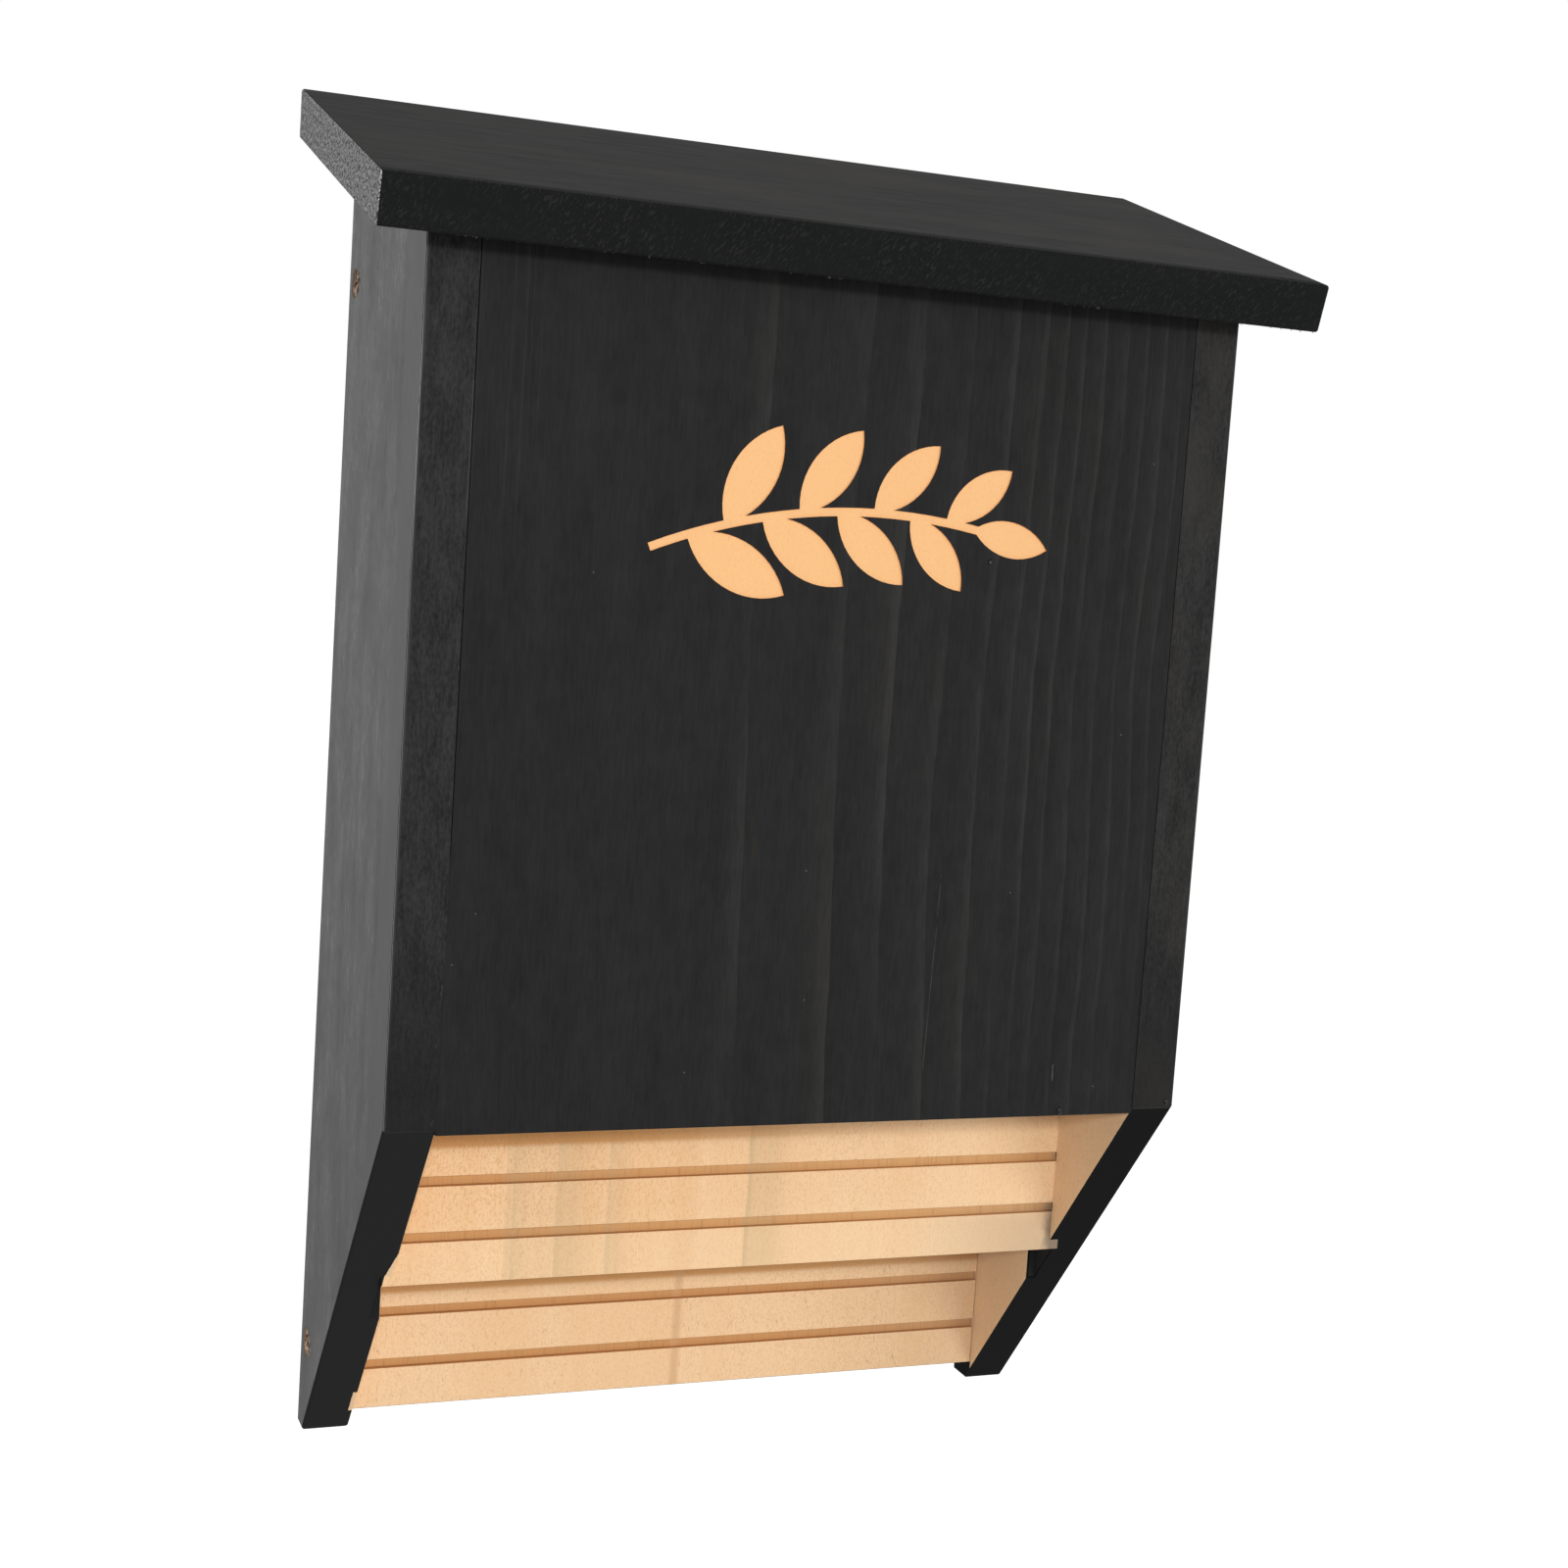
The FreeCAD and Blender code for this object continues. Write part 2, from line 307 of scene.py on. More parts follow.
# %% [markdown]
# Black stain
#
# Outside, the boards carry one thin coat of black water stain. It isn't a film: the grain shows
# through as bands a little lighter or darker than the rest, the open fibres keep a matt tooth, and
# sharp edges take less colour. So the finish is built from the same kind of stretched noise as the
# raw wood, with two very dark colours and a low gloss. The two sides, the front and the roof have
# their own grain, and share only the fine fibres and the uneven coat.

# %% Colours and gloss of the stain
pitch_black = (0.0014, 0.0015, 0.0016, 1)
charcoal = (0.0070, 0.0072, 0.0073, 1)
ink = (0.0120, 0.0122, 0.0123, 1)
shade_lifted_black = (0.0210, 0.0212, 0.0212, 1)
soot = (0.0270, 0.0269, 0.0266, 1)
warm_soot = (0.0330, 0.0302, 0.0250, 1)
rubbed = (0.0750, 0.0735, 0.0710, 1)
broad_grey = (0.0480, 0.0480, 0.0475, 1)
arris_highlight_pale = (0.4900, 0.4950, 0.5000, 1)
stain_gloss = 0.08
tooth = 0.12 * MM


def coat(finish, along, shift):
    """Fibres and patches of the stain, each from 0 to 1, along one axis: 0 for x, 2 for z."""
    fine = [1400, 1400, 1400]
    fine[along] = 130
    broad = [90, 90, 90]
    broad[along] = 14
    fibres = finish.grain(fine, detail=3, roughness=0.65, shift=shift)
    patches = finish.grain(broad, detail=3, roughness=0.6, shift=shift + 5)
    return fibres, patches


# %% [markdown]
# Where the paint stops
#
# The boards were stained before the box was put together, and the slanted lower edges after it. A
# board's inner face is raw, and the paint ends in a sharp line on the arris. A mask of 1 for paint
# and 0 for wood is enough: one material then holds both finishes, and the line stays on the edge
# whatever the view.

# %% Lay paint over wood
def dress(finish, paint, wood, painted):
    """Feeds the shader with paint where the mask is 1 and raw wood where it is 0. Each of the two is a
    colour, a roughness and a height."""
    paint_colour, paint_rough, paint_height = paint
    wood_colour, wood_rough, wood_height = wood
    colour = finish.blend(painted, wood_colour, paint_colour)
    rough = wood_rough + (paint_rough - wood_rough) * painted
    height = wood_height + (paint_height - wood_height) * painted
    finish.set(Base_Color=colour, Roughness=rough, Specular_IOR_Level=stain_gloss)
    finish.relief(height, tooth)


def put_on(finish, *names):
    """Gives these nodes the finish in place of their packed material."""
    for name in names:
        for slot in nodes[name].material_slots:
            slot.material = finish.material
    print(finish.material.name, "is worn by", ", ".join(names))


# %% [markdown]
# The front panel
#
# The front is one wide flat-sawn board. On its right half the growth rings run up it: each
# brightens slowly and ends in a thin light line with a sharp dark side, and they crowd together
# towards the right. A sawtooth of the width gives that profile: the fractional part of a ring count
# that grows faster and faster. Slow noise bends the lines and makes some weaker than others. Left
# of the first ring there is only mottled grain, with a few fine streaks near the left end. The
# sprig is cut through the stain, so its floor is raw and a little more orange than planed wood.

# %% Growth rings
first_ring_x = -36 * MM
rings_per_metre = 43
ring_crowding = 516
ring_offset = 0.76
ring_sway = 22 * MM
ring_ripple = 2.6 * MM
wide_rings_from = (25 * MM, 55 * MM)
wide_rings_to = (62 * MM, 80 * MM)


def growth_rings(finish):
    """Sawtooth from 0 to 1 across each ring: dark after a ring line, brightest before the next."""
    bend = finish.grain((7, 7, 6), detail=1, shift=2)
    ripple = finish.grain((34, 34, 26), shift=8)
    across = finish.x + (bend - 0.5) * ring_sway + (ripple - 0.5) * ring_ripple
    wide_rings = finish.smooth(across, *wide_rings_from) - finish.smooth(across, *wide_rings_to)
    count = across * rings_per_metre + across * across * ring_crowding - wide_rings * 0.5
    return finish.maths("FRACT", count + ring_offset)


ring_count = (inner_x - first_ring_x) * rings_per_metre
ring_count = ring_count + (inner_x ** 2 - first_ring_x ** 2) * ring_crowding
print("growth rings up to the right seam:", round(ring_count))


# %% Small marks on the front
# A mark is its x, the heights of its two ends, its lean as a share, and its half width. The lengths
# are in millimetres.
scratch_mark = (39.2, 143.5, 208, 0.025, 0.22)
nick_mark = (85.9, 140.7, 146.2, -0.05, 0.5)
pitch_mark = (-23, 212, 226, -0.07, 1.0)
dust_squares_per_metre = 28
dust_share = 0.20
speck_radii = (0.004, 0.009)
dust_grey = (0.180, 0.178, 0.175, 1)
pitch_brown = (0.024, 0.019, 0.010, 1)


def upright_mark(finish, x, foot, head, lean, half):
    """1 on a thin, nearly upright line between two heights over the foot of the box."""
    height = finish.z - foot_z
    off = abs(finish.x - (height - foot * MM) * lean - x * MM)
    line = 1 - finish.smooth(off, half * 0.4 * MM, half * MM)
    return line * (height > foot * MM) * (height < head * MM)


def dust(finish):
    """A few tiny pale specks, at most one in each square."""
    sockets = {"X": finish.x * dust_squares_per_metre, "Y": finish.z * dust_squares_per_metre}
    flat = finish.make("ShaderNodeCombineXYZ", sockets=sockets)
    settings = {"voronoi_dimensions": "2D"}
    distance = finish.make("ShaderNodeTexVoronoi", settings, {"Vector": flat, "Scale": 1.0}, "Distance")
    cell = Field(finish, distance.socket.node.outputs["Color"])
    picked = finish.make("ShaderNodeSeparateXYZ", sockets={"Vector": cell}, output="X") > 1 - dust_share
    return (1 - finish.smooth(distance, *speck_radii)) * picked


print("dust: one speck in", round(1 / dust_share), "squares")


# %% Finish of the front panel
streaks_end = (-100 * MM, -84 * MM)
streaks_rise = heights(282, 342)


def front_stain(finish):
    """Colour, roughness and height of the stain on the front."""
    fibres, patches = coat(finish, 2, 1)
    rings = growth_rings(finish)
    ring_light = finish.smooth(rings, 0.10, 1.0) * 0.35 + finish.smooth(rings, 0.72, 0.97) * 0.65
    weak = finish.grain((55, 55, 7), shift=17)
    strength = finish.smooth(finish.x, first_ring_x, first_ring_x + 14 * MM)
    ring_light = ring_light * strength * finish.smooth(weak, 0.22, 0.70)
    mottle = finish.grain((150, 150, 110), detail=4, roughness=0.65, shift=19)
    hair = finish.grain((620, 620, 3), shift=21)
    left_part = 1 - finish.smooth(finish.x, *streaks_end)
    high_part = finish.smooth(finish.z, *streaks_rise)
    streaks = finish.smooth(hair, 0.52, 0.68) * left_part * high_part
    light = ring_light * (fibres * 0.9 + 0.08) + streaks * 0.40 + 0.33
    light = light + (fibres - 0.5) * 0.9 + (patches - 0.5) * 0.5 + (mottle - 0.5) * 0.5

    clouds = finish.grain((30, 30, 10), shift=23)
    warmth = finish.smooth(clouds, 0.48, 0.66) * ring_light * 0.34
    colour = finish.blend(warmth, finish.blend(light, charcoal, soot), warm_soot)
    scratch = upright_mark(finish, *scratch_mark)
    nick = upright_mark(finish, *nick_mark)
    broken = finish.smooth(fibres, 0.38, 0.60)
    colour = finish.blend((scratch * 0.5 + nick * 0.9) * broken, colour, rubbed)
    colour = finish.blend(dust(finish) * 0.45, colour, dust_grey)
    pitch = upright_mark(finish, *pitch_mark) * finish.smooth(fibres, 0.40, 0.60)
    colour = finish.blend(pitch * 0.6, colour, pitch_brown)
    height = fibres * 0.5 + ring_light * 0.25 + mottle * 0.3 - scratch * 0.8
    return colour, 0.62 + fibres * 0.16, height


def front_finish():
    finish = Finish("front_stain")
    wood, grain = raw_wood(finish, 40)
    floor = finish.blend(0.75, wood, fresh_cut)
    bare = (finish.y > front_y + 0.2 * MM) * (finish.z > front_foot_z + 0.6 * MM)
    bare = bare * (abs(finish.x) < inner_x - 1 * MM)
    dress(finish, front_stain(finish), (floor, 0.72, grain), 1 - bare)
    return finish


put_on(front_finish(), "front_panel")


# %% [markdown]
# Marks at the screws
#
# The screws were driven after staining. Their countersinks show dirty wood, and the slipping bit
# scuffed the stain beside them; the pale spots in the scuffs are partly painted glints. Both marks
# are round spots about a screw's axis, so a distance from that axis is enough, and noise frays the
# scuffs. The two screws of the right side mirror those of the left, so the masks use the distance
# from the middle of the box and serve both.

# %% Masks at the screws
sink_radius = 5.2 * MM
scuff_radius = 4.1 * MM
scuff_forward = 2.6 * MM
scuff_fraying = 2.2 * MM

screw_middles = []
for name in ("back_screw_left_1", "back_screw_left_2"):
    low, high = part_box(name)
    screw_middles.append((low + high) / 2)
print("heights of the screws in metres:", [round(middle.z, 4) for middle in screw_middles])


def countersinks(finish):
    """1 in the countersinks of the four screws."""
    sinks = 0
    for middle in screw_middles:
        dy = finish.y - middle.y
        dz = finish.z - middle.z
        sinks = (dy * dy + dz * dz < sink_radius ** 2) + sinks
    away = abs(finish.x)
    return sinks * (away < outer_x - skin) * (away > inner_x + 1 * MM)


def scuffed(finish):
    """1 where the driver slipped and bared the wood on the front side of each screw."""
    ragged = finish.grain((900, 900, 900), shift=78) - 0.5
    marks = 0
    for middle in screw_middles:
        dy = (finish.y - middle.y + scuff_forward) * 0.70
        dz = finish.z - middle.z
        reach = finish.maths("SQRT", dy * dy + dz * dz) + ragged * scuff_fraying
        marks = (reach < scuff_radius) + marks
    return marks * (abs(finish.x) > outer_x - skin)


# %% [markdown]
# Marks at the slanted edges
#
# The slanted edges were painted last, across the finished joint. On the left one the brush missed
# the inner arris in two places: a wedge just over the foot of the partition, which widens
# downwards, and a short stretch near the foot of the side. A mask needs the height over the slant,
# square to it, to tell that edge from the faces beside it.

# %% Masks at the slanted edges
brush_line_foot, brush_line_top = partition_low.z, foot_z + 81 * MM
brush_line_lean = 0.24
lower_bare_foot, lower_bare_top = heights(8, 17)
lower_bare_width = 1.4 * MM
print("height of the bare wedge in millimetres:", round((brush_line_top - brush_line_foot) / MM, 1))


def over_slant(finish):
    """Height over the slanted edges, square to them."""
    across_y = (finish.y - toe_y) * (slant_rise / slant_length)
    across_z = (finish.z - foot_z) * (slant_run / slant_length)
    return across_y + across_z


def short_of_brush(finish, off):
    """1 where a distance off the left inner arris falls short of the line where the brush began to touch.
    The line slants out from its top down to the foot of the partition."""
    return off < (brush_line_top - finish.z) * brush_line_lean


def missed_by_brush(finish):
    """1 on the two bare places along the inner arris of the left slanted edge."""
    ragged = finish.grain((900, 900, 500), shift=76)
    off = finish.x * -1 - inner_x + (ragged - 0.5) * (0.5 * MM)
    upper = short_of_brush(finish, off) * (finish.z > brush_line_foot) * (finish.z < brush_line_top)
    lower = (off < lower_bare_width) * (finish.z > lower_bare_foot) * (finish.z < lower_bare_top)
    on_slant = (over_slant(finish) < 0.4 * MM) * (finish.x < 0)
    return finish.maths("MAXIMUM", upper, lower) * on_slant


# %% [markdown]
# The two sides
#
# Each side's broad face is finely mottled, and calmer on the strip behind its front arris. It is
# seen at a grazing angle, so what shows as lighter or darker there is mostly the stain's shine, and
# the same noise drives the colour and the roughness. The narrow front edge is rougher, where the
# saw tore the fibres and left flecks beside the left seam. The arris between the two carries a thin
# pale line, a painted highlight, palest a hand's width below the roof. The slanted edges carry the
# thickest coat and are an even deep black. The right side's cut faces are painted darker than the
# left's, a painted shade for the stronger light they catch, and its housing in front of the
# partition is painted lighter, a painted light in the deep shade there. The inner face is raw, apart
# from the foot below the back panel.

# %% Stain on the broad face and the front edge of a side
calm_strip_end = (front_y + 16 * MM, front_y + 26 * MM)
shine_rise = heights(42, 432)
edge_darkens_below = heights(136, 207)
edge_warms_above = heights(262, 352)


def broad_face(finish, fibres):
    """Colour of the stain on a side's broad face, and how much glossier it is than elsewhere."""
    streaks = finish.grain((300, 300, 12), detail=3, roughness=0.65, shift=64)
    veils = finish.grain((60, 60, 26), detail=3, roughness=0.6, shift=68)
    mottle = finish.grain((620, 620, 240), detail=3, roughness=0.7, shift=70)
    lively = 0.35 + finish.smooth(finish.y, *calm_strip_end) * 0.65
    light = (streaks - 0.5) * 1.2 + (veils - 0.5) * 2.4
    light = light + (mottle - 0.5) * 3.8 + (fibres - 0.5) * 2.8
    colour = finish.blend(light * lively + 0.34, ink, broad_grey)
    uneven = (streaks - 0.5) * 0.12 + (veils - 0.5) * 0.32
    uneven = uneven + (mottle - 0.5) * 0.36 + (fibres - 0.5) * 0.16
    shine = finish.smooth(finish.z, *shine_rise) * 0.10 + 0.16 - uneven * lively
    return colour, shine


def front_edge(finish, fibres, blotches, speckle):
    """Colour of the stain on a side's narrow front edge."""
    light = (blotches - 0.5) * 1.6 + (speckle - 0.5) * 2.2 + (fibres - 0.5) * 1.6 + 0.50
    light = light * (0.30 + finish.smooth(finish.z, *edge_darkens_below) * 0.70)
    clouds = finish.grain((35, 35, 16), detail=3, shift=75)
    upper_part = 0.28 + finish.smooth(finish.z, *edge_warms_above) * 0.40
    warmth = finish.smooth(clouds, 0.44, 0.62) * (finish.x > 0) * upper_part
    return finish.blend(warmth, finish.blend(light, charcoal, soot), warm_soot)


# %% Wear and painted highlights along the arrises of a side
flecks_below, seam_wear_top = heights(282, 348)
seam_wear_rise = heights(302, 317)
crest_brightest = heights(292, 322)
crest_dimmer = heights(344, 372)


def side_wear_and_highlight(finish, colour, patches, speckle, on_edge):
    """This stain, rubbed along the front arris and the left seam, with a painted highlight on the
    crest. Along the front arris the rub is partly wear and partly painted highlight.
    """
    dx = abs(finish.x) - outer_x
    dy = finish.y - front_y
    from_arris = finish.maths("SQRT", dx * dx + dy * dy) + (speckle - 0.5) * (0.8 * MM)
    # Along the front arris the rub is partly wear and partly painted highlight.
    worn = (1 - finish.smooth(from_arris, 0.35 * MM, 1.0 * MM)) * finish.smooth(patches, 0.30, 0.62)
    off_seam = abs(finish.x) - inner_x
    from_seam = abs(off_seam) + finish.maths("MAXIMUM", dy, 0.0) + (speckle - 0.5) * (0.5 * MM)
    seam_part = finish.smooth(finish.z, *seam_wear_rise) * (finish.z < seam_wear_top) * (finish.x < 0)
    worn = worn + (1 - finish.smooth(from_seam, 0.20 * MM, 0.55 * MM)) * seam_part * 0.6
    torn = finish.grain((800, 800, 300), detail=1, shift=77)
    low_left = (finish.z < flecks_below) * (finish.x < 0) * on_edge
    by_seam = (1 - finish.smooth(off_seam, 0.8 * MM, 2.4 * MM)) * low_left
    worn = worn + finish.smooth(torn, 0.62, 0.72) * by_seam * 0.35
    colour = finish.blend(worn * 0.7, colour, rubbed)
    # Painted highlight: a thin pale line on the crest of the front arris, brightest a hand's width below
    # the roof.
    crest = finish.smooth(dx, -0.36 * MM, -0.18 * MM) * (1 - finish.smooth(dy, 0.8 * MM, 1.4 * MM))
    most = finish.smooth(finish.z, *crest_brightest) * (1 - finish.smooth(finish.z, *crest_dimmer))
    share = (most * 0.45 + 0.40) * finish.smooth(speckle, 0.20, 0.45) * (finish.z > kink_z)
    return finish.blend(crest * share, colour, arris_highlight_pale)


# %% Finish of the sides
inner_side_wood = (0.880, 0.680, 0.460, 1)
grimy_sink = (0.150, 0.128, 0.112, 1)
dirty_wood = (0.070, 0.044, 0.029, 1)
pale_scratch_and_glint = (0.600, 0.470, 0.370, 1)


def side_stain_coat(finish):
    """Colour, roughness and height of the stain on a side."""
    away = abs(finish.x)
    fibres, patches = coat(finish, 2, 60)
    blotches = finish.grain((170, 170, 60), detail=4, roughness=0.6, shift=72)
    speckle = finish.grain((1300, 1300, 520), roughness=0.7, shift=73)
    on_edge = finish.y < front_y + 0.5 * MM
    broad_colour, shine = broad_face(finish, fibres)
    colour = finish.blend(on_edge, broad_colour, front_edge(finish, fibres, blotches, speckle))
    colour = side_wear_and_highlight(finish, colour, patches, speckle, on_edge)

    cut = (away < outer_x - close) * (1 - on_edge)
    # Painted shade: the right side's cut faces are darker than the left's, for the stronger light they
    # catch.
    cut_colour = finish.blend(finish.x < 0, pitch_black, ink)
    in_housing = (over_slant(finish) > 0.5 * MM) * (away > inner_x + 1 * MM)
    # Painted light: the right housing in front of the partition is lighter, where it lies in deep shade.
    well_lit = finish.maths("MAXIMUM", finish.x < 0, finish.y > partition_high.y - 0.3 * MM)
    housing_colour = finish.blend(well_lit, shade_lifted_black, ink)
    colour = finish.blend(cut, colour, finish.blend(in_housing, cut_colour, housing_colour))
    rough = 0.60 + cut * 0.22 - (1 - cut) * (1 - on_edge) * shine
    return colour, rough, fibres * 0.5 + (blotches + speckle) * on_edge * 0.5


def side_wood(finish):
    """Bare wood of a side: its colour and height, and 1 where it shows."""
    wood, grain = raw_wood(finish, 80)
    wood = finish.blend(0.40, wood, inner_side_wood)
    sunk = countersinks(finish)
    wood = finish.blend(sunk * 0.85, wood, grimy_sink)
    # The pale spots in the scuffs are partly painted glints.
    scratched = finish.grain((900, 900, 600), detail=1, shift=79)
    scuff = scuffed(finish)
    scuff_colour = finish.blend(finish.smooth(scratched, 0.52, 0.58), dirty_wood, pale_scratch_and_glint)
    wood = finish.blend(scuff, wood, scuff_colour)
    behind_front = finish.maths("MAXIMUM", finish.y > front_back_y, finish.z < front_foot_z)
    over_foot = finish.maths("MAXIMUM", finish.y < back_y, finish.z > back_foot_z)
    bare = (abs(finish.x) < inner_x + skin) * over_foot * behind_front
    for place in (sunk, scuff, missed_by_brush(finish)):
        bare = finish.maths("MAXIMUM", bare, place)
    return wood, grain, bare


def side_finish():
    finish = Finish("side_stain")
    wood, grain, bare = side_wood(finish)
    dress(finish, side_stain_coat(finish), (wood, 0.74, grain), 1 - bare)
    return finish


side_stain = side_finish()
put_on(side_stain, "left_side", "right_side")


# %% [markdown]
# The roof
#
# The roof board's grain runs from side to side. Its top has long faint streaks and a few warm
# clouds where the stain dried thin. The front edge took more stain and is deep black, and the
# planer left short slanted marks on it, which show as faint strokes and as relief. The two ends are
# end grain, where every cut fibre leaves a pale silvery speck.

# %% Stain on the roof's top, front edge and ends
edge_black = (0.0055, 0.0060, 0.0060, 1)
end_grey = (0.030, 0.029, 0.030, 1)
end_silver = (0.62, 0.61, 0.62, 1)
planer_lean = math.radians(-32)
front_edge_lean = 4.6 * MM


def roof_top(finish, fibres, patches):
    """Colour of the stain on the roof's broad faces."""
    streaks = finish.grain((7, 320, 320), detail=3, roughness=0.6, shift=104)
    clouds = finish.grain((16, 45, 45), detail=3, shift=108)
    blotches = finish.grain((60, 200, 200), detail=3, roughness=0.65, shift=106)
    light = (streaks - 0.5) * 1.7 + (blotches - 0.5) * 1.8 + (fibres - 0.5) * 2.4
    light = light + (patches - 0.5) * 1.4 + 0.42
    warmth = finish.smooth(clouds, 0.44, 0.70) * 0.55
    return finish.blend(warmth, finish.blend(light, ink, soot), warm_soot)


def planer_marks(finish):
    """1 on the short slanted marks of the planer, which fade out here and there."""
    sockets = {"Vector": finish.place, "Angle": planer_lean}
    leaning = finish.make("ShaderNodeVectorRotate", {"rotation_type": "Y_AXIS"}, sockets)
    strokes = finish.grain((1700, 500, 500), roughness=0.6, shift=112, place=leaning)
    marked = finish.grain((30, 30, 60), shift=114)
    return finish.smooth(strokes, 0.47, 0.63) * finish.smooth(marked, 0.25, 0.60)


def end_grain(finish):
    """1 on the pale specks of the roof's ends."""
    specks = finish.grain((60, 1350, 1350), roughness=0.75, shift=116)
    pores = finish.grain((60, 640, 640), roughness=0.6, shift=118)
    return finish.smooth(specks * 0.65 + pores * 0.35, 0.42, 0.58)


# %% Finish of the roof
def roof_finish():
    finish = Finish("roof_stain")
    fibres, patches = coat(finish, 0, 100)
    marks = planer_marks(finish)
    silvered = end_grain(finish)
    front = finish.y < roof_low.y + front_edge_lean
    end = abs(finish.x) > roof_high.x - 0.4 * MM
    edge_colour = finish.blend(marks * 0.55 + patches * 0.16, edge_black, soot)
    colour = finish.blend(front, roof_top(finish, fibres, patches), edge_colour)
    colour = finish.blend(end, colour, finish.blend(silvered, end_grey, end_silver))
    rough = 0.70 + fibres * 0.15 + front * (1 - end) * 0.12
    finish.set(Base_Color=colour, Roughness=rough, Specular_IOR_Level=stain_gloss)
    finish.relief(fibres * 0.5 + front * marks * 2.6 + end * silvered * 0.6, tooth)
    return finish


put_on(roof_finish(), "roof")


# %% [markdown]
# The raw boards
#
# The partition and the back panel are raw on every face that shows. The saw kerfs cut below the
# planed surface. Their floors are brown, darker towards the left, and the brown is partly painted
# shade of the recess. A dark line runs along the little ledge at the foot of each kerf, stronger
# towards the left. Some streaks of the partition have the grey-green tinge that damp leaves in
# sapwood, with edges as fibrous as the grain. Up inside the chambers a brown painted shade lies
# above the line where the board in front starts to shade the wood. The partition is painted paler
# at its foot and near its right end, as painted light, and is darker brown towards its lower right.
# The brush that painted the slanted edges ran over the left end of the partition and smeared its
# lower right corner. A faint line up the middle of the back panel shows where its two halves were
# glued, and its foot and rear are stained.

# %% Kerfs
# The kerf floor colours are partly painted shade of the recess.
kerf_brown = (0.590, 0.308, 0.124, 1)
kerf_tan = (0.640, 0.368, 0.160, 1)
kerf_foot_dark = (0.170, 0.075, 0.032, 1)
kerf_foot_line_width = 0.22 * MM
kerf_foot_line_share = 0.28
whole_steps = 40
step_slack = 0.004


def with_kerfs(finish, wood, shift, face_y, lowest_kerf, right_end):
    """This wood with brown kerf floors, partly painted shade of the recess, and a dark line along the
    foot of each kerf. The floors go from kerf_brown at the left to the colour given for the right end.
    Whole steps keep the height above 0, and the slack counts each ledge with the kerf over it."""
    behind = finish.y - face_y
    in_kerf = (behind > 0.1 * MM) * (behind < kerf_depth + 0.3 * MM)
    hair = finish.grain((1300, 1300, 60), roughness=0.7, shift=shift + 21)
    floor = finish.blend(finish.smooth(finish.x, -inner_x, inner_x * 0.8), kerf_brown, right_end)
    floor = finish.blend(finish.smooth(hair, 0.50, 0.72) * 0.45, floor, pore_brown)
    steps = (finish.z - lowest_kerf) * (1 / kerf_step) + step_slack
    over_ledge = finish.maths("FRACT", steps + whole_steps) * kerf_step
    line = (over_ledge < kerf_foot_line_width) * (behind > kerf_depth - 0.5 * MM)
    fading = kerf_foot_line_share - finish.smooth(finish.x, -inner_x, inner_x * 0.3) * kerf_foot_line_share
    return finish.blend(in_kerf, wood, finish.blend(line * fading, floor, kerf_foot_dark))


# %% Streaks and shade on the raw boards
# A streak is its left side and width in millimetres, and its share of grey.
sapwood_streaks = [(-81, 38, 0.13), (-79, 6, 0.13), (-64, 10, 0.17), (-47, 8, 0.14), (1, 15, 0.24)]
# Colour of the painted shade up inside the chambers.
painted_chamber_shade = (0.573, 0.246, 0.054, 1)
chamber_shade_edge = 0.9 * MM


def with_streaks(finish, wood):
    """This wood with grey streaks, each darkest at its sharper left side and fading to the right."""
    sway = finish.grain((14, 14, 14), shift=131) - 0.5
    hair = finish.grain((800, 800, 14), detail=3, roughness=0.7, shift=135)
    for left, width, share in sapwood_streaks:
        off = finish.x + sway * (4 * MM) + (hair - 0.5) * (3 * MM) - left * MM
        rise = finish.smooth(off, -0.3 * MM, 0.7 * MM)
        tinge = rise * (1 - finish.smooth(off, 0.5 * width * MM, 1.2 * width * MM))
        line = rise * (1 - finish.smooth(off, 0.8 * MM, 2.6 * MM))
        wood = finish.blend((tinge + line * 0.9) * share * (hair + 0.5), wood, sapwood_grey)
    return wood


def with_chamber_shade(finish, wood, shaded_above, share):
    """This wood with a brown painted shade, by a share, above the height where the board before it
    starts to shade it.
    """
    depth = finish.smooth(finish.z, shaded_above - chamber_shade_edge, shaded_above + chamber_shade_edge)
    return finish.blend(depth * share, wood, painted_chamber_shade)


print("sapwood streaks:", len(sapwood_streaks))


# %% Finish of the partition
right_end_brown = (0.350, 0.260, 0.180, 1)
smear_black = (0.130, 0.103, 0.085, 1)
partition_shaded_above = front_foot_z - 17.1 * MM
partition_lit_below = heights(76, 92)
smear_below = heights(78, 88)
warm_band_x = -20 * MM
warm_end_x = (-112 * MM, -90 * MM)


def partition_board(finish, wood):
    """This wood, paler to the right and at the foot, and warmer in two bands. The paleness near the
    right end and at the foot is painted light.
    """
    paler = finish.smooth(finish.x, -60 * MM, -5 * MM) * 0.26
    # Painted light: paler near the right end, where the right side shades the board.
    paler = paler + finish.smooth(finish.x, 40 * MM, 95 * MM) * 0.16
    wood = finish.blend(paler, wood, pale_wood)
    # Painted light: paler at the foot, which the lamps light more fully.
    painted_light_foot = 1 - finish.smooth(finish.z, *partition_lit_below)
    wood = finish.blend(painted_light_foot * 0.26, wood, pale_wood)
    warm_band = 1 - finish.smooth(abs(finish.x - warm_band_x), 2 * MM, 6 * MM)
    warm_end = 1 - finish.smooth(finish.x, *warm_end_x)
    return finish.blend(warm_band * 0.16 + warm_end * 0.16, wood, biscuit)


